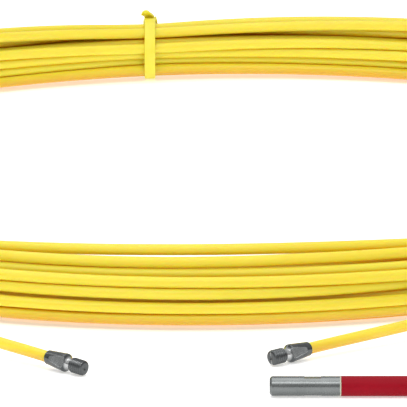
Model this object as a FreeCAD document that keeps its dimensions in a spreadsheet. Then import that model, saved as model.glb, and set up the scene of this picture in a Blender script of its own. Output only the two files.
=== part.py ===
import FreeCAD, Part
import math
import os
import Sketcher

# A hand-wound fish tape: a stiff glass-fibre rod in a yellow jacket, wound into one large
# flat coil, tied in three places, with a threaded steel end at each end of the rod, and a
# red flexible leader that screws onto either end and swivels at its pulling head.
# Millimetres, +Z up. The origin is the middle of the coil's open eye, on the ground.

SIZES = {
    # the rod and its coil
    "rod_diameter": 4.5,
    "core_diameter": 3.0,
    "coil_radius": 248.0,
    "coil_flattening": 12.0,
    "coil_flat_angle": 120.0,
    "bundle_tied": 24.5,
    "bundle_loose_height": 35.0,
    "bundle_loose_width": 22.0,
    "tape_turns": 19.8,
    # the three ties, by their angle round the coil
    "tie_back_angle": 98.0,
    "tie_left_angle": 217.0,
    "tie_right_angle": 318.0,
    "tie_width": 4.8,
    "tie_thickness": 1.3,
    "tie_skew": 8.0,
    "tie_head_width": 6.4,
    "tie_head_height": 4.0,
    "tie_head_depth": 6.0,
    "tie_head_turn": 48.0,
    "tie_tail_height": 5.4,
    "tie_tail_shift": 2.4,
    "tie_tail_cut": 1.6,
    # the threaded end fittings
    "fitting_mouth_diameter": 5.5,
    "fitting_shoulder_diameter": 7.2,
    "fitting_neck_diameter": 4.6,
    "fitting_thread_diameter": 6.0,
    "fitting_thread_length": 6.4,
    "fitting_neck_length": 1.6,
    "fitting_shoulder_chamfer": 1.2,
    "fitting_sleeve_length": 9.6,
    "fitting_jacket_depth": 5.0,
    "fitting_core_depth": 11.5,
    "fitting_flat_width": 5.8,
    "fitting_flat_start": 2.6,
    "fitting_flat_tilt": 16.0,
    "thread_chamfer": 0.7,
    # the flexible leader
    "leader_start": 15.5,
    "leader_row": -358.4,
    "leader_diameter": 7.5,
    "leader_core_diameter": 4.2,
    "socket_length": 26.6,
    "socket_chamfer": 0.8,
    "socket_thread_diameter": 5.0,
    "socket_thread_depth": 12.0,
    "socket_core_depth": 12.0,
    "socket_flat_start": 13.1,
    "socket_flat_length": 6.4,
    "socket_flat_width": 6.6,
    "seal_width": 0.5,
    "seal_diameter": 8.0,
    "sheath_diameter": 7.7,
    "sheath_length": 122.0,
    "rear_socket_length": 18.0,
    "rear_socket_wall": 4.0,
    "rear_core_depth": 10.0,
    "swivel_bore": 4.6,
    "swivel_hole": 3.4,
    # the swivelling pulling head
    "swivel_shank": 3.0,
    "swivel_flange": 4.1,
    "swivel_flange_width": 2.4,
    "swivel_gap": 0.4,
    "swivel_seat": 6.0,
    "head_length": 20.0,
    "head_diameter": 7.5,
    "head_nose": 3.6,
    "head_neck_chamfer": 0.9,
    "eye_diameter": 3.2,
    "eye_place": 12.5,
    "eye_flat_width": 4.6,
    "eye_flat_length": 9.0,
}

doc = FreeCAD.newDocument("FishTape")
sheet = doc.addObject("Spreadsheet::Sheet", "Sizes")
for row, (alias, value) in enumerate(SIZES.items(), start=1):
    sheet.set(f"A{row}", alias.replace("_", " "))
    sheet.set(f"B{row}", str(value))
    sheet.setAlias(f"B{row}", alias)
doc.recompute()

ORIGIN = FreeCAD.Vector(0, 0, 0)
ALONG_X = FreeCAD.Vector(1, 0, 0)
UP = FreeCAD.Vector(0, 0, 1)
sub_parts = []


def size(alias):
    """A driving dimension, read from the sheet."""
    return float(getattr(sheet, alias))


def bound(alias_sum):
    """Write a formula of aliases as an expression on the sheet: 'a + b / 2' becomes
    Sizes.a + Sizes.b / 2."""
    words = alias_sum.replace("(", " ( ").replace(")", " ) ").split()
    return " ".join("Sizes." + word if word in SIZES else word for word in words)


# ---------------------------------------------------------------- PartDesign helpers

def new_body(label):
    body = doc.addObject("PartDesign::Body", label)
    body.Label = label
    sub_parts.append(body)
    return body


def new_sketch(body, name, role):
    """A sketch on one of the body's own origin planes."""
    sketch = body.newObject("Sketcher::SketchObject", name)
    plane = next(item for item in body.Origin.OriginFeatures if item.Role == role)
    sketch.AttachmentSupport = [(plane, "")]
    sketch.MapMode = "FlatFace"
    return sketch


def pin_vertex(sketch, edge, end, across, up):
    """Hold one vertex by its two distances from the sketch's origin, each a formula of the sheet."""
    for kind, formula, axis in (("DistanceX", across, -2), ("DistanceY", up, -1)):
        if formula == "0":
            sketch.addConstraint(Sketcher.Constraint("PointOnObject", edge, end, axis))
            continue
        # A length constraint is never negative, so a corner on the other side is measured back.
        if evaluated(formula) > 0:
            index = sketch.addConstraint(Sketcher.Constraint(kind, -1, 1, edge, end, 1.0))
        else:
            index = sketch.addConstraint(Sketcher.Constraint(kind, edge, end, -1, 1, 1.0))
            formula = f"-1 * ( {formula} )"
        sketch.setExpression(f"Constraints[{index}]", bound(formula))


def evaluated(formula):
    """The number that a formula of the sheet comes to, for the first draft of a sketch."""
    probe = doc.addObject("App::FeaturePython", "Probe")
    probe.addProperty("App::PropertyFloat", "Value")
    probe.setExpression("Value", bound(formula))
    probe.recompute()
    value = probe.Value
    doc.removeObject(probe.Name)
    return value


def closed_outline(sketch, corners):
    """Draw a closed outline through corners, each a pair of formulas, and hold every corner."""
    points = [FreeCAD.Vector(evaluated(across), evaluated(up), 0) for across, up in corners]
    for start, end in zip(points, points[1:] + points[:1]):
        sketch.addGeometry(Part.LineSegment(start, end), False)
    count = len(points)
    for edge in range(count):
        sketch.addConstraint(Sketcher.Constraint("Coincident", edge, 2, (edge + 1) % count, 1))
    for edge, (across, up) in enumerate(corners):
        pin_vertex(sketch, edge, 1, across, up)


def centred_circle(sketch, across, diameter):
    """Draw a circle on the sketch's horizontal axis."""
    centre = FreeCAD.Vector(evaluated(across), 0, 0)
    edge = sketch.addGeometry(Part.Circle(centre, UP, evaluated(diameter) / 2), False)
    pin_vertex(sketch, edge, 3, across, "0")
    index = sketch.addConstraint(Sketcher.Constraint("Diameter", edge, evaluated(diameter)))
    sketch.setExpression(f"Constraints[{index}]", bound(diameter))


def turned(label, corners):
    """A body turned about its own X axis from an outline of (place along the axis, radius)."""
    body = new_body(label)
    sketch = new_sketch(body, label + "_outline", "XY_Plane")
    closed_outline(sketch, corners)
    revolution = body.newObject("PartDesign::Revolution", label + "_turning")
    revolution.Profile = sketch
    revolution.ReferenceAxis = (sketch, ["H_Axis"])
    revolution.Angle = 360.0
    doc.recompute()
    return body


def cut_through(body, name, sketch):
    """Cut a sketch right through the body, both ways, and make sure that it took something away."""
    before = body.Shape.Volume
    pocket = body.newObject("PartDesign::Pocket", name)
    pocket.Profile = sketch
    pocket.Type = "ThroughAll"
    pocket.Midplane = True
    doc.recompute()
    if body.Shape.Volume >= before:
        raise RuntimeError(f"{name} cut nothing")
    return pocket


def mill_flats(body, start, length, across_flats, outside, plane):
    """Mill two opposite flats that meet the given plane of the body at a right angle."""
    name = body.Label + "_flats"
    sketch = new_sketch(body, name + "_outline", plane)
    near, far = start, f"{start} + {length}"
    low, high = f"{across_flats} / 2", outside
    closed_outline(sketch, [(near, low), (far, low), (far, high), (near, high)])
    pocket = cut_through(body, name, sketch)
    before = body.Shape.Volume
    pattern = body.newObject("PartDesign::PolarPattern", name + "_round")
    pattern.Originals = [pocket]
    pattern.Axis = (sketch, ["H_Axis"])
    pattern.Angle = 360.0
    pattern.Occurrences = 2
    body.Tip = pattern
    doc.recompute()
    if body.Shape.Volume >= before:
        raise RuntimeError(f"{name} were not repeated")


def along(direction, place, roll=0.0):
    """A placement that lays a body's X axis along a direction, with its Z axis upward but for the
    roll."""
    upright = FreeCAD.Rotation(direction, ORIGIN, UP, "XZY")
    return FreeCAD.Placement(place, upright * FreeCAD.Rotation(ALONG_X, roll))


# ---------------------------------------------------------------- the coil and its leads

def round_the_coil(angle, radius, height):
    """A point by its angle round the coil in degrees, its distance from the middle and its height."""
    turn = math.radians(angle)
    return FreeCAD.Vector(radius * math.cos(turn), radius * math.sin(turn), height)


def ring_radius(angle):
    """How far the middle of the bundle is from the coil's middle. Two opposite sides are flattened."""
    flat = math.cos(math.radians(angle - size("coil_flat_angle"))) ** 6
    return size("coil_radius") - size("coil_flattening") * flat


def looseness(angle):
    """How far the bundle has opened at an angle round the coil: 0 at a tie, 1 midway between ties."""
    ties = sorted(size(f"tie_{place}_angle") for place in ("back", "left", "right"))
    ties.append(ties[0] + 360)
    if angle < ties[0]:
        angle += 360
    for start, end in zip(ties, ties[1:]):
        if start <= angle <= end:
            return math.sin(math.pi * (angle - start) / (end - start)) ** 1.5
    return 0.0


def bundle_section(angle):
    """The bundle's oval outline at an angle: round at a tie, taller, narrower and lower between ties."""
    loose = looseness(angle)
    tied = size("bundle_tied") / 2
    half_height = tied + loose * (size("bundle_loose_height") / 2 - tied)
    half_width = tied + loose * (size("bundle_loose_width") / 2 - tied)
    floor_gap = (1 - loose) * size("tie_thickness")
    centre = round_the_coil(angle, ring_radius(angle), floor_gap + half_height)
    outward = round_the_coil(angle, 1.0, 0.0)
    if half_height - half_width < 0.01:
        oval = Part.Circle(centre, outward.cross(UP), tied)
    else:
        oval = Part.Ellipse(centre + UP * half_height, centre + outward * half_width, centre)
    start = oval.parameter(centre + UP * half_height)
    return Part.Wire([oval.toShape(start, start + 2 * math.pi)])


def tape_coil(sections=48):
    """The tied coil's outer shape, closed on itself."""
    coil = doc.addObject("Part::Feature", "tape_coil")
    outlines = [bundle_section(360 * index / sections) for index in range(sections)]
    coil.Shape = Part.makeLoft(outlines, True, False, True)
    coil.Label = "tape_coil"
    sub_parts.append(coil)


def rounded_path(points):
    """Straight runs between the points, joined by arcs as large as the runs allow."""
    edges = []
    last = points[0]
    for before, corner, after in zip(points, points[1:], points[2:]):
        arriving = (corner - before).normalize()
        leaving = (after - corner).normalize()
        half_turn = arriving.getAngle(leaving) / 2
        reach = 0.45 * min((corner - before).Length, (after - corner).Length)
        print(f"  arc radius {reach / math.tan(half_turn):.0f}, turn {math.degrees(2 * half_turn):.1f}")
        start = corner - arriving * reach
        end = corner + leaving * reach
        inward = (leaving - arriving).normalize()
        radius = reach / math.tan(half_turn)
        middle = corner + inward * (radius / math.cos(half_turn) - radius)
        edges.append(Part.LineSegment(last, start).toShape())
        edges.append(Part.Arc(start, middle, end).toShape())
        last = end
    edges.append(Part.LineSegment(last, points[-1]).toShape())
    return Part.Wire(edges)


def tape_lead(label, points):
    """The rod from inside the bundle to inside its end fitting."""
    path = rounded_path(points)
    section = Part.Circle(points[0], points[1] - points[0], size("rod_diameter") / 2)
    lead = doc.addObject("Part::Feature", label)
    lead.Shape = path.makePipeShell([Part.Wire([section.toShape()])], True, False)
    lead.Label = label
    expected = math.pi * size("rod_diameter") ** 2 / 4 * path.Length
    print(f"{label}: length {path.Length:.1f}, "
          f"volume {lead.Shape.Volume / expected:.4f} of section x length")
    sub_parts.append(lead)
    return path.Length


# Where each end of the rod leaves the bundle, in the order in which the rod runs out of it.
START_LEAVES = [
    round_the_coil(208, 247.8, 15.5),
    round_the_coil(217, 250.4, 15.5),
    round_the_coil(226, 258.5, 15.0),
]
END_LEAVES = [
    round_the_coil(331, 244.6, 13.4),
    round_the_coil(323.5, 245.4, 13.1),
    round_the_coil(316, 247.3, 12.6),
    round_the_coil(308.5, 250.6, 11.4),
    round_the_coil(301, 254.6, 9.8),
]
# Then, stiff and straight, down to the ground and the mouth of the fitting.
START_ROUTE = [(-153.3, -224.3, 13.2), (-125.3, -259.5, 10.2), (-94.3, -292.1, 6.7)]
END_ROUTE = [(97.5, -246.4, 7.9), (66.0, -271.4, 5.9)]
START_MOUTH = FreeCAD.Vector(-69.0, -314.2, 4.6)
END_MOUTH = FreeCAD.Vector(30.8, -298.5, 4.1)


def heading(degrees, descent):
    """A direction by its compass angle and how steeply it goes down, both in degrees."""
    level = math.cos(math.radians(descent))
    return round_the_coil(degrees, level, -math.sin(math.radians(descent)))


START_HEADING = heading(318.8, 4.7)
END_HEADING = heading(220.0, 2.5)


def lead_points(leaves, route, mouth, ahead, straight=10.0):
    """All points of a lead: out of the bundle, down to the ground, straight into the fitting."""
    into_fitting = [mouth - ahead * straight, mouth + ahead * size("fitting_jacket_depth")]
    return leaves + [FreeCAD.Vector(*point) for point in route] + into_fitting


# ---------------------------------------------------------------- the end fittings

def end_fitting(label, mouth, ahead, roll):
    """A turned steel end: tapered sleeve with two flats, shoulder, neck and male threaded barrel."""
    shoulder = "fitting_sleeve_length"
    neck = shoulder + " + fitting_shoulder_chamfer"
    barrel = neck + " + fitting_neck_length"
    tip = barrel + " + fitting_thread_length"
    body = turned(label, [
        ("0", "rod_diameter / 2"),
        ("0", "fitting_mouth_diameter / 2"),
        (shoulder + " - fitting_shoulder_chamfer", "fitting_shoulder_diameter / 2"),
        (shoulder, "fitting_shoulder_diameter / 2"),
        (neck, "fitting_neck_diameter / 2"),
        (barrel, "fitting_neck_diameter / 2"),
        (barrel, "fitting_thread_diameter / 2 - thread_chamfer / 2"),
        (barrel + " + thread_chamfer", "fitting_thread_diameter / 2"),
        (tip + " - thread_chamfer", "fitting_thread_diameter / 2"),
        (tip, "fitting_thread_diameter / 2 - thread_chamfer"),
        (tip, "0"),
        ("fitting_core_depth", "0"),
        ("fitting_core_depth", "core_diameter / 2"),
        ("fitting_jacket_depth", "core_diameter / 2"),
        ("fitting_jacket_depth", "rod_diameter / 2"),
    ])
    mill_flats(body, "fitting_flat_start", f"{neck} - fitting_flat_start", "fitting_flat_width",
               "fitting_shoulder_diameter / 2 + 1", "XY_Plane")
    body.Placement = along(ahead, mouth, roll)


def glass_core(label, mouth, ahead):
    """The bare glass core, stripped of its jacket and glued into the fitting."""
    core = doc.addObject("Part::Cylinder", label)
    core.Label = label
    core.setExpression("Radius", bound("core_diameter / 2"))
    core.setExpression("Height", bound("fitting_core_depth - fitting_jacket_depth"))
    place = mouth + ahead * size("fitting_jacket_depth")
    core.Placement = FreeCAD.Placement(place, FreeCAD.Rotation(UP, ahead))
    sub_parts.append(core)


# ---------------------------------------------------------------- the ties

def cable_tie(label, angle):
    """One moulded tie: a band round the bundle, its head on the outer shoulder and a short cut tail."""
    body = new_body(label)
    band_sketch = new_sketch(body, label + "_band_outline", "XZ_Plane")
    centred_circle(band_sketch, "0", "bundle_tied")
    centred_circle(band_sketch, "0", "bundle_tied + 2 * tie_thickness")
    band = body.newObject("PartDesign::Pad", label + "_band")
    band.Profile = band_sketch
    band.Midplane = True
    band.setExpression("Length", "Sizes.tie_width")

    head_sketch = new_sketch(body, label + "_head_outline", "XZ_Plane")
    head_sketch.AttachmentOffset = FreeCAD.Placement(ORIGIN, FreeCAD.Rotation(UP, -size("tie_head_turn")))
    foot = "bundle_tied / 2 + tie_thickness / 2"
    top = "bundle_tied / 2 + tie_head_height"
    closed_outline(head_sketch, [
        ("-1 * tie_head_depth / 2", foot),
        ("tie_head_depth / 2", foot),
        ("tie_head_depth / 2", top),
        ("-1 * tie_head_depth / 2", top),
    ])
    head = body.newObject("PartDesign::Pad", label + "_head")
    head.Profile = head_sketch
    head.Midplane = True
    head.setExpression("Length", "Sizes.tie_head_width")

    tail_sketch = new_sketch(body, label + "_tail_outline", "YZ_Plane")
    tail_top = "bundle_tied / 2 + tie_tail_height"
    closed_outline(tail_sketch, [
        ("-1 * tie_width / 2", foot),
        ("tie_width / 2", foot),
        ("tie_width / 2 + tie_tail_shift", tail_top + " - tie_tail_cut"),
        ("tie_tail_shift", tail_top),
    ])
    tail = body.newObject("PartDesign::Pad", label + "_tail")
    tail.Profile = tail_sketch
    tail.setExpression("Length", "Sizes.tie_thickness")
    doc.recompute()

    centre = round_the_coil(angle, ring_radius(angle), size("tie_thickness") + size("bundle_tied") / 2)
    body.Placement = FreeCAD.Placement(centre, FreeCAD.Rotation(UP, angle - size("tie_skew")))


# ---------------------------------------------------------------- the flexible leader

SOCKET_END = "socket_length"
SHEATH_START = SOCKET_END + " + seal_width"
SHEATH_END = SHEATH_START + " + sheath_length"
REAR_START = SHEATH_END + " + seal_width"
REAR_END = REAR_START + " + rear_socket_length"
HEAD_START = REAR_END + " + swivel_gap"


def ring_outline(start, end, inside, outside):
    """The half section of a plain sleeve."""
    return [(start, inside), (start, outside), (end, outside), (end, inside)]


def leader_socket():
    """The front sleeve: female thread at its mouth, the core fixed in its back."""
    body = turned("leader_socket", [
        ("0", "socket_thread_diameter / 2 + socket_chamfer / 2"),
        ("0", "leader_diameter / 2 - socket_chamfer"),
        ("socket_chamfer", "leader_diameter / 2"),
        (SOCKET_END, "leader_diameter / 2"),
        (SOCKET_END, "leader_core_diameter / 2"),
        (SOCKET_END + " - socket_core_depth", "leader_core_diameter / 2"),
        (SOCKET_END + " - socket_core_depth", "0"),
        ("socket_thread_depth", "0"),
        ("socket_thread_depth", "socket_thread_diameter / 2"),
        ("socket_chamfer / 2", "socket_thread_diameter / 2"),
    ])
    mill_flats(body, "socket_flat_start", "socket_flat_length", "socket_flat_width",
               "leader_diameter / 2 + 1", "XZ_Plane")
    return body


def leader_seal(label, start):
    """A soft bead that closes the joint between sleeve and sheath."""
    end = start + " + seal_width"
    return turned(label, [
        (start, "leader_core_diameter / 2"),
        (start, "leader_diameter / 2"),
        (start + " + seal_width / 2", "seal_diameter / 2"),
        (end, "leader_diameter / 2"),
        (end, "leader_core_diameter / 2"),
    ])


def rear_socket():
    """The rear sleeve: the core fixed in its front, the swivel pin's flange caught behind its end
    wall."""
    wall = REAR_END + " - rear_socket_wall"
    return turned("leader_rear_socket", [
        (REAR_START, "leader_core_diameter / 2"),
        (REAR_START, "leader_diameter / 2"),
        (REAR_END + " - socket_chamfer / 2", "leader_diameter / 2"),
        (REAR_END, "leader_diameter / 2 - socket_chamfer / 2"),
        (REAR_END, "swivel_hole / 2"),
        (wall, "swivel_hole / 2"),
        (wall, "swivel_bore / 2"),
        (REAR_START + " + rear_core_depth", "swivel_bore / 2"),
        (REAR_START + " + rear_core_depth", "leader_core_diameter / 2"),
    ])


def leader_core():
    """The wire-rope core, from the front sleeve through the sheath into the rear one."""
    start = SOCKET_END + " - socket_core_depth"
    end = REAR_START + " + rear_core_depth"
    return turned("leader_core", [
        (start, "0"),
        (start, "leader_core_diameter / 2"),
        (end, "leader_core_diameter / 2"),
        (end, "0"),
    ])


def swivel_pin():
    """The headed pin that the pulling head turns with."""
    flange_end = REAR_END + " - rear_socket_wall - swivel_gap"
    flange_start = flange_end + " - swivel_flange_width"
    return turned("swivel_pin", [
        (flange_start, "0"),
        (flange_start, "swivel_flange / 2"),
        (flange_end, "swivel_flange / 2"),
        (flange_end, "swivel_shank / 2"),
        (HEAD_START + " + swivel_seat", "swivel_shank / 2"),
        (HEAD_START + " + swivel_seat", "0"),
    ])


def guide_head():
    """The bullet-nosed pulling head, with a flattened middle and an eye through it."""
    tip = HEAD_START + " + head_length"
    body = turned("guide_head", [
        (HEAD_START, "swivel_shank / 2"),
        (HEAD_START, "head_diameter / 2 - head_neck_chamfer"),
        (HEAD_START + " + head_neck_chamfer", "head_diameter / 2"),
        (tip, "head_diameter / 2"),
        (tip, "0"),
        (HEAD_START + " + swivel_seat", "0"),
        (HEAD_START + " + swivel_seat", "swivel_shank / 2"),
    ])
    turning = body.Tip
    rim = size("head_diameter") / 2
    farthest = evaluated(tip)
    nose_edge = next(
        index for index, edge in enumerate(turning.Shape.Edges, start=1)
        if isinstance(edge.Curve, Part.Circle)
        and abs(edge.Curve.Radius - rim) < 0.01
        and abs(edge.Curve.Center.x - farthest) < 0.01
    )
    nose = body.newObject("PartDesign::Fillet", "guide_head_nose")
    nose.Base = (turning, [f"Edge{nose_edge}"])
    nose.setExpression("Radius", "Sizes.head_nose")
    body.Tip = nose
    doc.recompute()
    flat_start = HEAD_START + " + eye_place - eye_flat_length / 2"
    mill_flats(body, flat_start, "eye_flat_length", "eye_flat_width", "head_diameter / 2 + 1", "XZ_Plane")
    eye_sketch = new_sketch(body, "guide_head_eye_outline", "XY_Plane")
    centred_circle(eye_sketch, HEAD_START + " + eye_place", "eye_diameter")
    cut_through(body, "guide_head_eye", eye_sketch)
    return body


def flexible_leader():
    """Every piece of the leader, on one straight axis beside the coil."""
    pieces = [
        leader_socket(),
        leader_seal("leader_front_seal", SOCKET_END),
        turned("leader_sheath", ring_outline(SHEATH_START, SHEATH_END, "leader_core_diameter / 2",
                                             "sheath_diameter / 2")),
        leader_seal("leader_rear_seal", SHEATH_END),
        rear_socket(),
        leader_core(),
        swivel_pin(),
        guide_head(),
    ]
    place = FreeCAD.Vector(size("leader_start"), size("leader_row"), size("seal_diameter") / 2)
    for piece in pieces:
        piece.Placement = along(ALONG_X, place)


tape_coil()
round_the_ring = sum(math.radians(1.0) * ring_radius(angle) for angle in range(360))
wound = size("tape_turns") * round_the_ring
start = tape_lead("tape_start_lead", lead_points(START_LEAVES, START_ROUTE, START_MOUTH, START_HEADING))
end = tape_lead("tape_end_lead", lead_points(END_LEAVES, END_ROUTE, END_MOUTH, END_HEADING))
print(f"whole rod: about {(wound + start + end) / 1000:.1f} m")
end_fitting("start_fitting", START_MOUTH, START_HEADING, -size("fitting_flat_tilt"))
end_fitting("end_fitting", END_MOUTH, END_HEADING, size("fitting_flat_tilt"))
glass_core("start_glass_core", START_MOUTH, START_HEADING)
glass_core("end_glass_core", END_MOUTH, END_HEADING)
for tie_place in ("back", "left", "right"):
    cable_tie(f"tie_{tie_place}", size(f"tie_{tie_place}_angle"))
flexible_leader()
doc.recompute()

for item in doc.Objects:
    if "Invalid" in item.State or "Error" in item.State:
        raise RuntimeError(f"{item.Label} failed: {item.State}")
os.makedirs("parts", exist_ok=True)
for piece in sub_parts:
    if piece.Shape.isNull() or not piece.Shape.isValid():
        raise RuntimeError(f"{piece.Label} has no valid shape")
    piece.Shape.exportStep(f"parts/{piece.Label}.step")
    box = piece.Shape.optimalBoundingBox()
    print(f"{piece.Label}: {len(piece.Shape.Solids)} solid, {piece.Shape.Volume:.0f} mm3, "
          f"z {box.ZMin:.2f} to {box.ZMax:.2f}")
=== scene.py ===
"""Fish tape coil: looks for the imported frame, in metres."""
import math

import bmesh
import bpy
import numpy as np
from mathutils import Matrix, Vector


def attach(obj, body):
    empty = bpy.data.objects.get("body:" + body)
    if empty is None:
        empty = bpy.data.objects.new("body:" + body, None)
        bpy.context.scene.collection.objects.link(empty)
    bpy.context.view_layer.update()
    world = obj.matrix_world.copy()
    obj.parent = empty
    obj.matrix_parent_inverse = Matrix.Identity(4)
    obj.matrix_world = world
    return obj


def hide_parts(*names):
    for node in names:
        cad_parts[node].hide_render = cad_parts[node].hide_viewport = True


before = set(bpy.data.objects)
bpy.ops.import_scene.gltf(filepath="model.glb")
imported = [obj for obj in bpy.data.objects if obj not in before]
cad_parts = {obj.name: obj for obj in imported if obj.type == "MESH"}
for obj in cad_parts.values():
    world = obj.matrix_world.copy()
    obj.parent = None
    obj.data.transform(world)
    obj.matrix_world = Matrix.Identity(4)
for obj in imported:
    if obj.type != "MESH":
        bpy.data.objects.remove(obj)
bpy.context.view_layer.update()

MM = 0.001

# ---------------------------------------------------------------- sizes, the same as in the CAD

ROD = 4.5 * MM
COIL_RADIUS = 248.0 * MM
COIL_FLATTENING = 12.0 * MM
COIL_FLAT_ANGLE = 120.0
BUNDLE_TIED = 24.5 * MM
BUNDLE_LOOSE_HEIGHT = 35.0 * MM
BUNDLE_LOOSE_WIDTH = 22.0 * MM
TIE_ANGLES = {"tie_back": 98.0, "tie_left": 217.0, "tie_right": 318.0}
# A tie's outer side faces this many degrees off straight outward.
TIE_SKEW = 8.0
TIE_WIDTH = 4.8 * MM
TIE_THICKNESS = 1.3 * MM

UP = Vector((0, 0, 1))


def round_the_coil(angle, radius, height):
    """A point by its angle round the coil in degrees, its distance from the middle and its height."""
    turn = math.radians(angle)
    return Vector((radius * math.cos(turn), radius * math.sin(turn), height))


def ring_radius(angle):
    """How far the middle of the bundle is from the coil's middle. Two opposite sides are flattened."""
    flat = math.cos(math.radians(angle - COIL_FLAT_ANGLE)) ** 6
    return COIL_RADIUS - COIL_FLATTENING * flat


def heading(degrees, descent):
    """A direction by its compass angle and how steeply it goes down, both in degrees."""
    level = math.cos(math.radians(descent))
    return round_the_coil(degrees, level, -math.sin(math.radians(descent)))


def side_and_up(ahead):
    """Two directions across a line: one level, the other square to both."""
    side = ahead.cross(UP).normalized()
    return side, side.cross(ahead)


def add_object(name, data):
    """A new object in the scene, for a mesh, a camera or a light."""
    made = bpy.data.objects.new(name, data)
    bpy.context.scene.collection.objects.link(made)
    return made


def mesh_from(name, bm, sharp_angle=180.0):
    """A new object for a finished bmesh, smooth except where it turns by more than the angle."""
    bmesh.ops.recalc_face_normals(bm, faces=bm.faces)
    for face in bm.faces:
        face.smooth = True
    mesh = bpy.data.meshes.new(name)
    bm.to_mesh(mesh)
    bm.free()
    mesh.set_sharp_from_angle(angle=math.radians(sharp_angle))
    return add_object(name, mesh)


def grid_faces(bm, rows, uvs):
    """Faces between neighbouring closed rows of vertices, with a UV map of (along, across)."""
    uv_layer = bm.loops.layers.uv.verify()
    across = len(rows[0])
    for index, (near, far) in enumerate(zip(rows, rows[1:])):
        for place in range(across):
            other = (place + 1) % across
            face = bm.faces.new((near[place], near[other], far[other], far[place]))
            corners = ((index, place), (index, place + 1), (index + 1, place + 1), (index + 1, place))
            for loop, (row, column) in zip(face.loops, corners):
                loop[uv_layer].uv = uvs(row, column)


def close_ends(bm, rows):
    """Faces over the first and the last row."""
    bm.faces.new(list(reversed(rows[0])))
    bm.faces.new(rows[-1])


# ---------------------------------------------------------------- camera

CAMERA_TARGET = Vector((-0.0095, 0.0, -0.0048))
CAMERA_DISTANCE = 3.5
CAMERA_ELEVATION = 12.51
CAMERA_LENS = 736.0


def add_camera():
    """A long lens, looking a little down across the coil from its open ends' side."""
    data = bpy.data.cameras.new("camera")
    data.lens = CAMERA_LENS
    data.sensor_width = 36.0
    data.clip_end = 20.0
    camera = add_object("camera", data)
    rise = math.radians(CAMERA_ELEVATION)
    camera.location = CAMERA_TARGET + CAMERA_DISTANCE * Vector((0.0, -math.cos(rise), math.sin(rise)))
    camera.rotation_euler = (math.pi / 2 - rise, 0.0, 0.0)
    bpy.context.scene.camera = camera


# ---------------------------------------------------------------- the rod

# Down to the ground, from the bundle to the mouth of each fitting, in mm.
START_ROUTE = [(-153.3, -224.3, 13.2), (-125.3, -259.5, 10.2), (-94.3, -292.1, 6.7)]
END_ROUTE = [(97.5, -246.4, 7.9), (66.0, -271.4, 5.9)]
START_MOUTH = Vector((-69.0, -314.2, 4.6)) * MM
END_MOUTH = Vector((30.8, -298.5, 4.1)) * MM
START_HEADING = heading(318.8, 4.7)
END_HEADING = heading(220.0, 2.5)
JACKET_DEPTH = 5.0 * MM

STATIONS = 48
STEP = 360.0 / STATIONS
FIRST_ANGLE = 226.0
COIL_POINTS = 951
TURNS = math.ceil(COIL_POINTS / STATIONS)
WINDING_SEED = 4
# How the two ends lie in the bundle, outermost station first: distance from the coil's middle and
# height, in mm.
START_TUCK = [(258.5, 15.0), (251.2, 15.5), (248.3, 15.5)]
END_TUCK = [(254.6, 9.8), (250.6, 11.4), (247.3, 12.6)]
# A loose rod wanders to and fro by up to this much, over about this many stations.
WANDER = 1.8 * MM
WANDER_STATIONS = 11
# The layers of rods from the ground up: how many lie side by side, how far outward the middle of
# the layer is and how high, in mm. Where the bundle is tied it is round, and where it is loose its
# outer side bulges, its top slopes outward and one rod rides on the inner edge.
TIED_LAYERS = [(3, 0.0, 4.3), (4, 0.0, 8.2), (5, 0.0, 12.1), (5, 0.0, 16.0), (3, 0.0, 19.9)]
LOOSE_LAYERS = [(3, -1.0, 2.3), (4, 0.4, 6.8), (4, 1.2, 11.3), (4, 0.8, 15.9), (3, 0.2, 20.3),
                (1, 1.6, 25.8), (1, -5.4, 28.7)]
LOOSE_SLOPE = 0.14
LOOSE_SPACING = 1.06 * ROD
# The turn below the top one sags round one station, and leaves a slit of light above it.
SAG_STATION = 859.6
SAG_SPREAD = 2.4
SAG = 1.6 * MM
# The rods settle in rounds. In each one they are drawn back toward their places, straightened, and
# pushed apart at the stations and halfway between them. Drawing back and straightening fade out.
ROUNDS = 900
DRAW_BACK = 0.03
STRAIGHTEN_FIRST = 0.3
STRAIGHTEN_LAST = 0.01
PUSH = 0.5
PUSH_BETWEEN = 0.35
FAR_AWAY = 1.0


def looseness(angle):
    """0 at a tie, 1 midway between two ties."""
    ties = sorted(TIE_ANGLES.values())
    ties.append(ties[0] + 360.0)
    angle = angle % 360.0
    if angle < ties[0]:
        angle += 360.0
    start, end = next((a, b) for a, b in zip(ties, ties[1:]) if a <= angle <= b)
    return math.sin(math.pi * (angle - start) / (end - start)) ** 1.5


def snake_slots(layers, across, slope):
    """The places of the rods in a bundle, to and fro along each layer from the ground up: how far
    outward from the bundle's middle, and how high. The rods of a layer are spaced by `across`, and
    layers sink outward by the slope."""
    slots = []
    for layer, (count, middle, height) in enumerate(layers):
        side = 1 if layer % 2 == 0 else -1
        for place in range(count):
            outward = side * ((count - 1) / 2 - place) * across
            slots.append((outward + middle * MM, height * MM - slope * outward))
    return np.array(slots)


def smooth_noise(rng, count, spacing):
    """Noise that changes over about `spacing` points."""
    knots = rng.uniform(-1.0, 1.0, count // spacing + 3)
    place = np.arange(count) / spacing
    low = place.astype(int)
    blend = place - low
    blend = blend * blend * (3 - 2 * blend)
    return knots[low] * (1 - blend) + knots[low + 1] * blend


def push_apart(points, gap, strength):
    """How each rod moves to get clear of the ones it overlaps; points is (turn, station, 2)."""
    offset = points[:, None] - points[None, :]
    distance = np.linalg.norm(offset, axis=-1)
    itself = np.arange(len(points))
    distance[itself, itself] = FAR_AWAY
    overlap = np.clip(gap - distance, 0.0, None)
    return (offset / np.maximum(distance, 1e-6)[..., None] * overlap[..., None]).sum(axis=1) * strength


def between_slots(slots, along):
    """The places so many slots along, a share of the way from one slot to the next."""
    low = along.astype(int)
    part = (along - low)[:, None]
    return slots[low] * (1 - part) + slots[low + 1] * part


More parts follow.
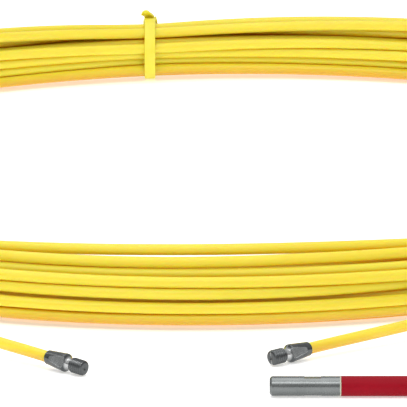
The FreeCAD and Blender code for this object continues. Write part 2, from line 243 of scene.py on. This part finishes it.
def planned_places(loose):
    """Where each station would lie in the bundle: in its turn's slot, with some wander where the
    bundle is loose and with the one sagging turn."""
    rng = np.random.default_rng(WINDING_SEED)
    stations = np.arange(len(loose))
    tied_slots = snake_slots(TIED_LAYERS, ROD, 0.0)
    loose_slots = snake_slots(LOOSE_LAYERS, LOOSE_SPACING, LOOSE_SLOPE)
    # Just short of the last slot, so that there is always a next one.
    along = np.minimum(stations / STATIONS, len(tied_slots) - 1.001)
    tied_place = between_slots(tied_slots, along)
    loose_place = between_slots(loose_slots, along)
    planned = tied_place + (loose_place - tied_place) * np.sqrt(loose)[:, None]
    wander = np.stack([smooth_noise(rng, len(loose), WANDER_STATIONS) for _ in range(2)], axis=1)
    planned += wander * (loose * WANDER)[:, None]
    planned[:, 1] -= SAG * np.exp(-((stations - SAG_STATION) / SAG_SPREAD) ** 2)
    return planned


def pull_inside(points, loose):
    """The points, with those outside the bundle's outline brought back to it. The outline is a circle
    where the bundle is tied, and taller and squarer where it is loose."""
    half_height = (BUNDLE_TIED + loose * (BUNDLE_LOOSE_HEIGHT - BUNDLE_TIED) - ROD) / 2
    half_width = (BUNDLE_TIED + loose * (BUNDLE_LOOSE_WIDTH - BUNDLE_TIED) - ROD) / 2
    middle = (1 - loose) * TIE_THICKNESS + half_height + ROD / 2
    squareness = 2.0 + 2.0 * np.sqrt(loose)[:, None]
    from_middle = points - np.stack([np.zeros(len(loose)), middle], axis=1)
    share = np.abs(from_middle) / np.stack([half_width, half_height], axis=1)
    reach = np.maximum((share ** squareness).sum(axis=1) ** (1 / squareness[:, 0]), 1.0)
    return points - from_middle * (1 - 1 / reach)[:, None]


def wind_bundle():
    """Wind the rod: each turn keeps near its planned place in the bundle and is pushed clear of its
    neighbours. Gives (outward, height) for each station in order."""
    total = TURNS * STATIONS
    angles = FIRST_ANGLE - STEP * np.arange(total)
    loose = np.array([looseness(angle) for angle in angles])
    target = planned_places(loose)
    # The last turn's stations past the rod's end are parked far away, where they push nothing.
    spare = np.arange(COIL_POINTS, total)
    parked = np.stack([FAR_AWAY + 0.1 * np.arange(len(spare)), np.zeros(len(spare))], axis=1)
    pinned = dict(enumerate(START_TUCK))
    pinned.update({COIL_POINTS - 1 - index: tuck for index, tuck in enumerate(END_TUCK)})
    drift = np.zeros_like(target)
    for settling in np.linspace(1.0, 0.0, ROUNDS):
        drift *= 1.0 - DRAW_BACK * settling
        straighten = STRAIGHTEN_LAST + (STRAIGHTEN_FIRST - STRAIGHTEN_LAST) * settling
        drift[1:-1] += straighten * ((drift[2:] + drift[:-2]) / 2 - drift[1:-1])
        points = target + drift
        points[spare] = parked
        points += push_apart(points.reshape(TURNS, STATIONS, 2), ROD, PUSH).reshape(-1, 2)
        between = (points + np.roll(points, -1, axis=0)) / 2
        between[spare] = parked
        between[COIL_POINTS - 1] = (2 * FAR_AWAY, 0.0)
        push = push_apart(between.reshape(TURNS, STATIONS, 2), ROD, PUSH_BETWEEN).reshape(-1, 2)
        points += push / 2
        points[1:] += push[:-1] / 2
        points = pull_inside(points, loose)
        for index, (radius, height) in pinned.items():
            points[index] = (radius * MM - ring_radius(angles[index]), height * MM)
        drift = points - target
    points[:, 1] = np.maximum(points[:, 1], ROD / 2)
    return points[:COIL_POINTS]


def rod_points():
    """Control points of the whole rod: start fitting, ground, coil, ground, end fitting."""
    straight = 10.0 * MM
    start = [START_MOUTH + START_HEADING * JACKET_DEPTH, START_MOUTH - START_HEADING * straight]
    end = [END_MOUTH - END_HEADING * straight, END_MOUTH + END_HEADING * JACKET_DEPTH]
    start += [Vector(point) * MM for point in reversed(START_ROUTE)]
    end = [Vector(point) * MM for point in END_ROUTE] + end
    # The spline cuts inside its control points, so these stand a little further out.
    pull_out = 1.0 / math.cos(math.radians(STEP / 2))
    coil = []
    for index, (outward, height) in enumerate(wind_bundle()):
        angle = FIRST_ANGLE - STEP * index
        coil.append(round_the_coil(angle, (ring_radius(angle) + outward) * pull_out, height))
    return start + coil + end


def rod_line():
    """The rod's own line: a smooth spline with the route and the turns as its control points."""
    data = bpy.data.curves.new("tape_line", "CURVE")
    data.dimensions = "3D"
    data.resolution_u = 3
    points = rod_points()
    spline = data.splines.new("NURBS")
    spline.points.add(len(points) - 1)
    for knot, point in zip(spline.points, points):
        knot.co = (*point, 1.0)
    spline.order_u = 3
    spline.use_endpoint_u = True
    carrier = bpy.data.objects.new("tape_line", data)
    mesh = bpy.data.meshes.new_from_object(carrier)
    line = [vertex.co.copy() for vertex in mesh.vertices]
    bpy.data.objects.remove(carrier)
    bpy.data.meshes.remove(mesh)
    bpy.data.curves.remove(data)
    return line


def tube(name, line, radius, sides):
    """A closed round tube along a line, with the distance along it and the share of the way round it
    as its UV map. Gives the tube and its length."""
    bm = bmesh.new()
    rings = []
    travelled = [0.0]
    for index, point in enumerate(line):
        before, after = line[max(index - 1, 0)], line[min(index + 1, len(line) - 1)]
        side, up = side_and_up((after - before).normalized())
        ring = []
        for place in range(sides):
            turn = 2 * math.pi * place / sides
            ring.append(bm.verts.new(point + radius * (math.cos(turn) * side + math.sin(turn) * up)))
        rings.append(ring)
        if index:
            travelled.append(travelled[-1] + (point - before).length)
    grid_faces(bm, rings, lambda row, column: (travelled[row], column / sides))
    close_ends(bm, rings)
    return mesh_from(name, bm, sharp_angle=60.0), travelled[-1]


# ---------------------------------------------------------------- the threaded end fittings

# In mm, with angles in degrees.
BARREL_START = 12.4
THREAD_RADIUS = 3.0
THREAD_PITCH = 1.0
THREAD_DEPTH = 0.34
FLAT_HALF_WIDTH = 2.9
FLAT_START = 2.6
FLAT_END = 10.8
FLAT_TILT = 16.0
# An end that closes on the axis stays this wide, so that its row has no doubled vertices.
CLOSED_RADIUS = 0.02
# Half section: along the axis from the mouth, and the radius. It starts inside, where the rod ends.
FITTING_OUTLINE = [
    (5.0, 0.0), (5.0, 2.28), (0.15, 2.28), (0.0, 2.42), (0.0, 2.62), (0.25, 2.78), (1.2, 2.84), (8.2, 3.54),
    (8.7, 3.6), (9.3, 3.6), (9.65, 3.48), (10.8, 2.32), (11.2, 2.26), (BARREL_START - 0.2, 2.26),
    (BARREL_START, 2.5), (13.1, THREAD_RADIUS), (18.0, THREAD_RADIUS), (18.5, 2.72), (18.8, 2.1),
    (18.8, 0.9), (18.4, 0.0),
]


def carved(place, turn, radius, flat_turn):
    """The radius at a place on a fitting once its two flats and its thread are cut."""
    if FLAT_START < place < FLAT_END:
        facing = abs(math.cos(turn - flat_turn))
        radius = min(radius, FLAT_HALF_WIDTH / max(facing, 0.1))
    if place > BARREL_START:
        ridge = abs(2 * ((place / THREAD_PITCH - turn / (2 * math.pi)) % 1.0) - 1)
        radius = min(radius, THREAD_RADIUS - THREAD_DEPTH * ridge)
    return radius


def end_fitting(name, mouth, ahead, flat_tilt):
    """A turned steel end with a tapered sleeve, two flats, a neck and a real helical thread. Its
    vertices on the flats are marked as milled."""
    sides = 120
    row_spacing = 0.1
    stations = []
    for (place, radius), (next_place, next_radius) in zip(FITTING_OUTLINE, FITTING_OUTLINE[1:]):
        steps = max(1, round(math.hypot(next_place - place, next_radius - radius) / row_spacing))
        for step in range(steps):
            part = step / steps
            stations.append((place + part * (next_place - place), radius + part * (next_radius - radius)))
    mouth_row = next(index for index, (place, radius) in enumerate(stations) if place <= 0.0)
    bm = bmesh.new()
    milled = bm.verts.layers.float.new("milled")
    side, up = side_and_up(ahead)
    rows = []
    for index, (place, radius) in enumerate(stations):
        row = []
        for spoke in range(sides):
            turn = 2 * math.pi * spoke / sides
            out = carved(place, turn, radius, math.radians(flat_tilt)) if index > mouth_row else radius
            offset = place * ahead + max(out, CLOSED_RADIUS) * (math.cos(turn) * side + math.sin(turn) * up)
            vertex = bm.verts.new(mouth + offset * MM)
            vertex[milled] = float(out < radius and place < FLAT_END)
            row.append(vertex)
        rows.append(row)
    grid_faces(bm, rows, lambda row, column: (stations[row][0] * MM, column / sides))
    close_ends(bm, rows)
    return mesh_from(name, bm, sharp_angle=35.0)


# ---------------------------------------------------------------- the ties

# The head's angle from the bundle's top toward its outside, and how far it is from the strap's
# middle line.
HEAD_ANGLE = 48.0
HEAD_CLEARANCE = 1.55 * MM
HEAD_DEPTH = 6.0 * MM
HEAD_HEIGHT = 3.2 * MM
HEAD_WIDTH = 6.4 * MM
HEAD_TOP_SHARE = 0.82
HEAD_EDGE = 0.6 * MM
TAIL_THICKNESS = 1.0 * MM
TAIL_WIDTH = 4.4 * MM
TAIL_LEAN = 0.12
# The tail's way out of the head: its angle, how far it is from the strap's middle line and how far
# sideways, in mm.
TAIL_ROUTE = [(52.0, 1.6, 0.0), (30.0, 2.0, 0.3), (13.0, 2.3, 1.3), (6.0, 2.9, 2.2), (4.0, 3.8, 3.0)]
# The tail's end is rounded over these rows of points, down to this share of its width.
TIP_ROWS = 8
TIP_WIDTH = 0.25
# How round a strap's edges are, as a share of its thickness.
STRAP_CORNER = 0.32


def smooth_curve(points, steps):
    """Points along a smooth curve through the given ones (Catmull-Rom)."""
    padded = [2 * points[0] - points[1], *points, 2 * points[-1] - points[-2]]
    line = []
    for a, b, c, d in zip(padded, padded[1:], padded[2:], padded[3:]):
        for step in range(steps):
            part = step / steps
            line.append(0.5 * ((2 * b) + (c - a) * part + (2 * a - 5 * b + 4 * c - d) * part ** 2
                               + (3 * b - a - 3 * c + d) * part ** 3))
    return line + [points[-1]]


def strap(bm, line, sideways, thickness, width, closed):
    """A flat strap with rounded edges along a line. sideways gives its width direction at each point.
    An open strap narrows to a rounded tip."""
    corner = STRAP_CORNER * thickness
    half_thick, half_wide = thickness / 2 - corner, width / 2 - corner
    outline = []
    for middle_out, middle_side, first in ((1, 1, 0), (-1, 1, 90), (-1, -1, 180), (1, -1, 270)):
        for turn in (first, first + 45, first + 90):
            angle = math.radians(turn)
            outline.append((middle_out * half_thick + corner * math.cos(angle),
                            middle_side * half_wide + corner * math.sin(angle)))
    rows = []
    travelled = [0.0]
    for index, point in enumerate(line):
        before = line[index - 1] if closed or index else point
        after = line[(index + 1) % len(line)] if closed or index < len(line) - 1 else point
        ahead = (after - before).normalized()
        side = (sideways[index] - ahead * sideways[index].dot(ahead)).normalized()
        out = ahead.cross(side)
        if not closed:
            into_tip = max(0.0, 1.0 - (len(line) - 1 - index) / TIP_ROWS)
            side *= max(TIP_WIDTH, math.sqrt(1.0 - into_tip ** 2))
        rows.append([bm.verts.new(point + out * across + side * along) for across, along in outline])
        travelled.append(travelled[-1] + (after - point).length)
    if closed:
        rows.append(rows[0])
    grid_faces(bm, rows, lambda row, column: (travelled[row], column / len(outline)))
    if not closed:
        close_ends(bm, rows)


def tie_head(bm, place, out, along, side):
    """The moulded head: a rounded block that narrows outward."""
    block = bmesh.ops.create_cube(bm, size=1.0)["verts"]
    frame_of_block = Matrix((along, side, out)).transposed()
    for vertex in block:
        taper = 1.0 if vertex.co.z < 0 else HEAD_TOP_SHARE
        x, y, z = vertex.co
        local = Vector((x * HEAD_DEPTH * taper, y * HEAD_WIDTH * taper, z * HEAD_HEIGHT))
        vertex.co = place + frame_of_block @ local
    edges = {edge for vertex in block for edge in vertex.link_edges}
    bmesh.ops.bevel(bm, geom=list(edges), offset=HEAD_EDGE, segments=3, profile=0.5, affect="EDGES")


def cable_tie(name, angle):
    """A moulded tie: a strap round the bundle, through the head on its outer shoulder, and a cut tail."""
    radius = (BUNDLE_TIED + TIE_THICKNESS) / 2
    centre = round_the_coil(angle, ring_radius(angle), TIE_THICKNESS + BUNDLE_TIED / 2)
    outward = round_the_coil(angle - TIE_SKEW, 1.0, 0.0)
    side = UP.cross(outward)

    def at(degrees, distance, shift=0.0):
        """A point by its angle from the top toward the outside, its distance and its shift sideways."""
        turn = math.radians(degrees)
        return centre + distance * (math.sin(turn) * outward + math.cos(turn) * UP) + shift * side

    bm = bmesh.new()
    band = [at(degrees, radius) for degrees in range(0, 360, 4)]
    strap(bm, band, [side] * len(band), TIE_THICKNESS, TIE_WIDTH, closed=True)
    turn = math.radians(HEAD_ANGLE)
    out = math.sin(turn) * outward + math.cos(turn) * UP
    along = math.cos(turn) * outward - math.sin(turn) * UP
    tie_head(bm, at(HEAD_ANGLE, radius + HEAD_CLEARANCE), out, along, side)
    tail = smooth_curve([at(degrees, radius + clearance * MM, shift * MM)
                         for degrees, clearance, shift in TAIL_ROUTE], steps=6)
    lean = [(side - TAIL_LEAN * index / len(tail) * UP).normalized() for index in range(len(tail))]
    strap(bm, tail, lean, TAIL_THICKNESS, TAIL_WIDTH, closed=False)
    return mesh_from(name, bm, sharp_angle=40.0)


# ---------------------------------------------------------------- materials


class Look:
    """A material in the making: its node tree and its Principled shader."""

    def __init__(self, name, **sockets):
        self.material = bpy.data.materials.new(name)
        self.material.use_nodes = True
        self.tree = self.material.node_tree
        self.shader = self.tree.nodes["Principled BSDF"]
        for socket, value in sockets.items():
            self.shader.inputs[socket.replace("_", " ")].default_value = value

    def plug(self, socket, value):
        """Give an input socket a plain value, or link it to the output socket that feeds it."""
        if isinstance(value, bpy.types.NodeSocket):
            self.tree.links.new(value, socket)
        else:
            socket.default_value = value

    def node(self, kind, inputs=None, **settings):
        """Add a node, with its inputs by name and its settings."""
        made = self.tree.nodes.new(kind)
        for name, value in settings.items():
            setattr(made, name, value)
        for name, value in (inputs or {}).items():
            self.plug(made.inputs[name], value)
        return made

    def place(self, source, scale):
        """Coordinates from the UV map or from the object itself, stretched by the scale."""
        coordinates = self.node("ShaderNodeTexCoord")
        mapping = self.node("ShaderNodeMapping", {"Vector": coordinates.outputs[source], "Scale": scale})
        return mapping.outputs[0]

    def noise(self, source, scale, detail=4.0, roughness=0.6):
        """Noise from 0 to 1. The scale is its features per unit of each coordinate."""
        return self.node("ShaderNodeTexNoise", {"Vector": self.place(source, scale), "Scale": 1.0,
                                                "Detail": detail, "Roughness": roughness}).outputs["Fac"]

    def ramp(self, factor, low, high, low_value, high_value):
        """The factor's range from low to high, spread over the two values."""
        return self.node("ShaderNodeMapRange", {"Value": factor, "From Min": low, "From Max": high,
                                                "To Min": low_value, "To Max": high_value}).outputs[0]

    def mix(self, factor, first, second):
        """A blend of two colours, the first where the factor is 0 and the second where it is 1."""
        made = self.node("ShaderNodeMix", data_type="RGBA")
        for index, value in ((0, factor), (6, first), (7, second)):
            self.plug(made.inputs[index], value)
        return made.outputs[2]

    def combine(self, first, second, operation="ADD"):
        """The sum of two numbers, or another operation on them."""
        made = self.node("ShaderNodeMath", operation=operation)
        for index, value in enumerate((first, second)):
            self.plug(made.inputs[index], value)
        return made.outputs[0]

    def feed(self, socket, source):
        """Link one of the shader's inputs to the output socket that feeds it."""
        self.plug(self.shader.inputs[socket], source)

    def bump(self, height, distance, strength):
        """Raise the surface by the height, whose full range is the distance in metres."""
        made = self.node("ShaderNodeBump", {"Height": height, "Distance": distance, "Strength": strength})
        self.feed("Normal", made.outputs[0])


def colour(red, green, blue):
    """An opaque colour, in linear light."""
    return (red, green, blue, 1.0)


def tape_jacket():
    """Extruded yellow plastic: faint draw lines along the rod, cloudy dye, rubbed and dusty stretches.
    Painted shade: it is amber where rods lie close together, standing in for light that reaches them there
    only through each other, and it is a darker amber on its lowest few millimetres, towards the ground."""
    look = Look("tape_jacket", Subsurface_Weight=0.8, Subsurface_Radius=(1.0, 0.5, 0.06),
                Subsurface_Scale=4 * MM, Specular_IOR_Level=0.35)
    cloud = look.noise("UV", (14.0, 2.0, 1.0), 3.0)
    draw_lines = look.noise("UV", (9.0, 60.0, 1.0), 3.0, 0.7)
    scuffs = look.noise("UV", (160.0, 9.0, 1.0), 6.0, 0.75)
    dye = look.mix(look.ramp(cloud, 0.3, 0.7, 0.0, 1.0),
                   colour(0.78, 0.66, 0.050), colour(0.81, 0.71, 0.068))
    lined = look.mix(look.ramp(draw_lines, 0.45, 0.75, 0.0, 0.28), dye, colour(0.76, 0.53, 0.026))
    worn = look.mix(look.ramp(scuffs, 0.62, 0.78, 0.0, 0.35), lined, colour(0.86, 0.77, 0.26))
    # Painted shade: a darker amber on the rod's lowest part, full below 3.5 mm up and gone above 6.5 mm.
    position = look.place("Object", (1.0, 1.0, 1.0))
    height = look.node("ShaderNodeSeparateXYZ", {"Vector": position}).outputs[2]
    painted_underside_shade = look.ramp(height, 3.5 * MM, 6.5 * MM, 1.0, 0.0)
    with_underside_shade = look.mix(painted_underside_shade, worn, colour(0.66, 0.42, 0.035))
    # Painted shade: amber in the gaps, wherever ambient occlusion finds other rods or the ground within 4
    # mm.
    open_air = look.node("ShaderNodeAmbientOcclusion", {"Distance": 4 * MM}, samples=8).outputs["AO"]
    clear_of_gap_shade = look.ramp(open_air, 0.1, 0.6, 0.0, 1.0)
    look.feed("Base Color", look.mix(clear_of_gap_shade, colour(0.97, 0.52, 0.012), with_underside_shade))
    look.feed("Roughness", look.combine(look.ramp(cloud, 0.3, 0.7, 0.27, 0.36),
                                        look.ramp(scuffs, 0.55, 0.8, 0.0, 0.22)))
    look.bump(look.combine(draw_lines, look.ramp(scuffs, 0.5, 0.8, 0.0, 0.6)), 0.04 * MM, 0.8)
    return look.material


def fitting_steel():
    """Dark oiled steel, bare where the flats and the neck are cut, darkest in the thread, rubbed on
    its edges."""
    look = Look("fitting_steel", Metallic=1.0)
    in_mm = look.place("UV", (1 / MM, 1.0, 1.0))
    along = look.node("ShaderNodeSeparateXYZ", {"Vector": in_mm}).outputs[0]
    milled = look.node("ShaderNodeAttribute", attribute_name="milled").outputs["Fac"]
    neck_begins = look.ramp(along, FLAT_END - 0.6, FLAT_END, 0.0, 1.0)
    neck_ends = look.ramp(along, BARREL_START - 0.1, BARREL_START + 0.3, 1.0, 0.0)
    neck = look.combine(neck_begins, neck_ends, "MULTIPLY")
    thread = look.ramp(along, BARREL_START, BARREL_START + 0.4, 0.0, 1.0)
    edge = look.ramp(look.node("ShaderNodeNewGeometry").outputs["Pointiness"], 0.52, 0.60, 0.0, 1.0)
    stain = look.noise("Object", (420.0, 420.0, 420.0), 5.0)
    tool_marks = look.noise("UV", (9000.0, 3.0, 1.0), 2.0)
    stained = look.ramp(stain, 0.35, 0.65, 0.0, 1.0)
    skin = look.mix(stained, colour(0.075, 0.08, 0.082), colour(0.12, 0.127, 0.13))
    bare = look.mix(stained, colour(0.34, 0.355, 0.355), colour(0.42, 0.435, 0.435))
    sleeve = look.mix(milled, skin, bare)
    dark = look.mix(thread, sleeve, colour(0.095, 0.10, 0.102))
    bright = look.mix(neck, dark, colour(0.46, 0.47, 0.47))
    rubbed = look.combine(edge, 0.55, "MULTIPLY")
    look.feed("Base Color", look.mix(rubbed, bright, colour(0.55, 0.56, 0.56)))
    look.feed("Roughness", look.combine(look.ramp(stain, 0.3, 0.7, 0.16, 0.26),
                                        look.ramp(thread, 0.0, 1.0, 0.0, 0.12)))
    look.bump(look.combine(tool_marks, stain), 0.03 * MM, 0.6)
    return look.material


def leader_steel():
    """Bright turned steel: fine rings from the lathe, a soft haze and a few handling marks."""
    look = Look("leader_steel", Metallic=1.0)
    rings = look.noise("Object", (1600.0, 60.0, 60.0), 3.0, 0.7)
    haze = look.noise("Object", (90.0, 220.0, 220.0), 4.0)
    marks = look.noise("Object", (160.0, 1500.0, 900.0), 6.0, 0.8)
    body = look.mix(look.ramp(haze, 0.3, 0.7, 0.0, 1.0),
                    colour(0.155, 0.166, 0.165), colour(0.20, 0.211, 0.21))
    look.feed("Base Color", look.mix(look.ramp(marks, 0.68, 0.8, 0.0, 0.4), body, colour(0.13, 0.14, 0.14)))
    look.feed("Roughness", look.combine(look.ramp(haze, 0.3, 0.7, 0.20, 0.25),
                                        look.ramp(rings, 0.3, 0.7, 0.0, 0.08)))
    look.bump(rings, 0.002 * MM, 0.1)
    return look.material


def tie_plastic():
    """Soft translucent yellow nylon with its fine cross ribs."""
    look = Look("tie_plastic", Subsurface_Weight=0.5, Subsurface_Radius=(1.0, 0.9, 0.2),
                Subsurface_Scale=2 * MM)
    ribs = look.node("ShaderNodeTexWave", {"Vector": look.place("UV", (1.0, 0.0, 0.0)), "Scale": 360.0},
                     bands_direction="X").outputs["Fac"]
    cloud = look.noise("Object", (260.0, 260.0, 260.0), 3.0)
    grain = look.noise("Object", (2600.0, 2600.0, 2600.0), 2.0)
    look.feed("Base Color", look.mix(cloud, colour(0.80, 0.69, 0.035), colour(0.86, 0.77, 0.08)))
    look.feed("Roughness", look.ramp(grain, 0.3, 0.7, 0.36, 0.50))
    look.bump(look.combine(ribs, look.combine(grain, 0.3, "MULTIPLY")), 0.1 * MM, 0.6)
    return look.material


def red_sheath():
    """Thick red PVC over the wire rope: faint waves from the strands below, matt patches and lint."""
    look = Look("red_sheath", Subsurface_Weight=0.08, Subsurface_Radius=(1.0, 0.15, 0.1),
                Subsurface_Scale=1.5 * MM, Specular_IOR_Level=0.1)
    waves = look.noise("Object", (90.0, 260.0, 260.0), 3.0)
    grain = look.noise("Object", (2400.0, 2400.0, 2400.0), 3.0)
    lint = look.noise("Object", (900.0, 2200.0, 2200.0), 6.0, 0.8)
    body = look.mix(look.ramp(waves, 0.3, 0.7, 0.0, 1.0),
                    colour(0.270, 0.0015, 0.010), colour(0.310, 0.003, 0.013))
    look.feed("Base Color", look.mix(look.ramp(lint, 0.72, 0.88, 0.0, 0.3), body, colour(0.42, 0.06, 0.07)))
    look.feed("Roughness", look.ramp(waves, 0.3, 0.7, 0.42, 0.56))
    look.bump(look.combine(look.combine(waves, 4.0, "MULTIPLY"), grain), 0.03 * MM, 0.7)
    return look.material


def seal_bead():
    """A squeezed bead of pale clear glue."""
    look = Look("seal_bead", Subsurface_Weight=0.4, Subsurface_Radius=(1.0, 1.0, 0.8),
                Subsurface_Scale=1 * MM)
    cloud = look.noise("Object", (900.0, 900.0, 900.0), 3.0)
    look.feed("Base Color", look.mix(cloud, colour(0.50, 0.56, 0.40), colour(0.62, 0.66, 0.50)))
    look.feed("Roughness", look.ramp(cloud, 0.3, 0.7, 0.25, 0.45))
    look.bump(cloud, 0.1 * MM, 0.5)
    return look.material


def glass_fibre():
    """Bare glass-fibre core: pale green resin with the fibres running along it."""
    look = Look("glass_fibre", Subsurface_Weight=0.3, Subsurface_Radius=(0.8, 1.0, 0.7),
                Subsurface_Scale=1 * MM)
    fibres = look.noise("Object", (900.0, 900.0, 4000.0), 5.0, 0.8)
    look.feed("Base Color", look.mix(fibres, colour(0.46, 0.50, 0.36), colour(0.72, 0.74, 0.60)))
    look.feed("Roughness", look.ramp(fibres, 0.3, 0.7, 0.3, 0.55))
    look.bump(fibres, 0.05 * MM, 0.6)
    return look.material


def wire_rope():
    """Galvanised strands laid round the rope's axis."""
    look = Look("wire_rope", Metallic=1.0)
    inputs = {"Vector": look.place("Object", (1.0, 1.0, 1.0)), "Scale": 320.0, "Distortion": 0.6}
    strands = look.node("ShaderNodeTexWave", inputs, bands_direction="DIAGONAL").outputs["Fac"]
    stain = look.noise("Object", (500.0, 500.0, 500.0), 4.0)
    look.feed("Base Color", look.mix(stain, colour(0.32, 0.32, 0.31), colour(0.55, 0.55, 0.53)))
    look.feed("Roughness", look.ramp(stain, 0.3, 0.7, 0.3, 0.5))
    look.bump(strands, 0.2 * MM, 0.8)
    return look.material


# ---------------------------------------------------------------- floor and light

FLOOR_HEIGHT = -0.2 * MM


def add_floor():
    """A plain white studio floor, which glows a little so that shadows on it stay faint."""
    half = 6.0
    bm = bmesh.new()
    corners = ((-half, -half), (half, -half), (half, half), (-half, half))
    bm.faces.new([bm.verts.new((x, y, FLOOR_HEIGHT)) for x, y in corners])
    floor = mesh_from("floor", bm)
    look = Look("floor", Roughness=0.9, Emission_Color=colour(1.0, 1.0, 1.0), Emission_Strength=0.42)
    look.feed("Base Color", look.mix(look.noise("Object", (3.0, 3.0, 3.0)), colour(0.90, 0.90, 0.90),
                                     colour(0.92, 0.92, 0.92)))
    floor.data.materials.append(look.material)


def add_light(name, location, width, height, power):
    """A soft rectangular light that points at the object."""
    data = bpy.data.lights.new(name, "AREA")
    data.shape = "RECTANGLE"
    data.size = width
    data.size_y = height
    data.energy = power
    light = add_object(name, data)
    light.location = location
    light.rotation_euler = (-Vector(location)).to_track_quat("-Z", "Y").to_euler()


# The studio's brightness at the horizon and overhead, and how high the one ends and the other begins,
# as a share of the way up.
HORIZON = 0.35
OVERHEAD = 0.73
HORIZON_END = 0.05
OVERHEAD_START = 0.5


def add_world():
    """A white studio, bright overhead and dim round the horizon."""
    world = bpy.data.worlds.new("studio")
    bpy.context.scene.world = world
    world.use_nodes = True
    tree = world.node_tree
    coordinates = tree.nodes.new("ShaderNodeTexCoord")
    split = tree.nodes.new("ShaderNodeSeparateXYZ")
    tree.nodes["Background"].inputs["Color"].default_value = colour(1.0, 1.0, 1.0)
    rise = tree.nodes.new("ShaderNodeMapRange")
    rise.inputs["From Min"].default_value = HORIZON_END
    rise.inputs["From Max"].default_value = OVERHEAD_START
    rise.inputs["To Min"].default_value = HORIZON
    rise.inputs["To Max"].default_value = OVERHEAD
    tree.links.new(coordinates.outputs["Generated"], split.inputs[0])
    tree.links.new(split.outputs[2], rise.inputs["Value"])
    tree.links.new(rise.outputs[0], tree.nodes["Background"].inputs["Strength"])


add_camera()
add_floor()
add_world()
add_light("overhead", (-0.4, 0.2, 2.8), width=2.4, height=2.4, power=29.0)
add_light("front", (-0.3, -2.1, 2.5), width=3.2, height=1.1, power=33.0)
bpy.context.scene.view_settings.view_transform = "Standard"

# ---------------------------------------------------------------- the object

MAKERS = (tape_jacket, fitting_steel, glass_fibre, tie_plastic, leader_steel, seal_bead, red_sheath,
          wire_rope)
LOOKS = {make.__name__: make() for make in MAKERS}


def finish_piece(piece, body, slot, *nodes):
    """Give a new piece its material and its body, and hide the CAD nodes that it stands for."""
    piece.data.materials.append(LOOKS[slot])
    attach(piece, body)
    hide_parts(*nodes)


TAPE_LINE = rod_line()
tape, tape_length = tube("tape", TAPE_LINE, ROD / 2, sides=24)
finish_piece(tape, "tape", "tape_jacket", "tape_coil", "tape_start_lead", "tape_end_lead")
start_end = end_fitting("start_end", START_MOUTH, START_HEADING, FLAT_TILT)
finish_piece(start_end, "tape", "fitting_steel", "start_fitting")
far_end = end_fitting("far_end", END_MOUTH, END_HEADING, -FLAT_TILT)
finish_piece(far_end, "tape", "fitting_steel", "end_fitting")
for tie_name, tie_angle in TIE_ANGLES.items():
    finish_piece(cable_tie(tie_name + "_strap", tie_angle), "tape", "tie_plastic", tie_name)

# The CAD nodes that stay, by their material.
KEPT_NODES = {
    "glass_fibre": ["start_glass_core", "end_glass_core"],
    "leader_steel": ["leader_socket", "leader_rear_socket", "swivel_pin", "guide_head"],
    "seal_bead": ["leader_front_seal", "leader_rear_seal"],
    "red_sheath": ["leader_sheath"],
    "wire_rope": ["leader_core"],
}
for look_name, node_names in KEPT_NODES.items():
    for node_name in node_names:
        for material_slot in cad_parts[node_name].material_slots:
            material_slot.material = LOOKS[look_name]
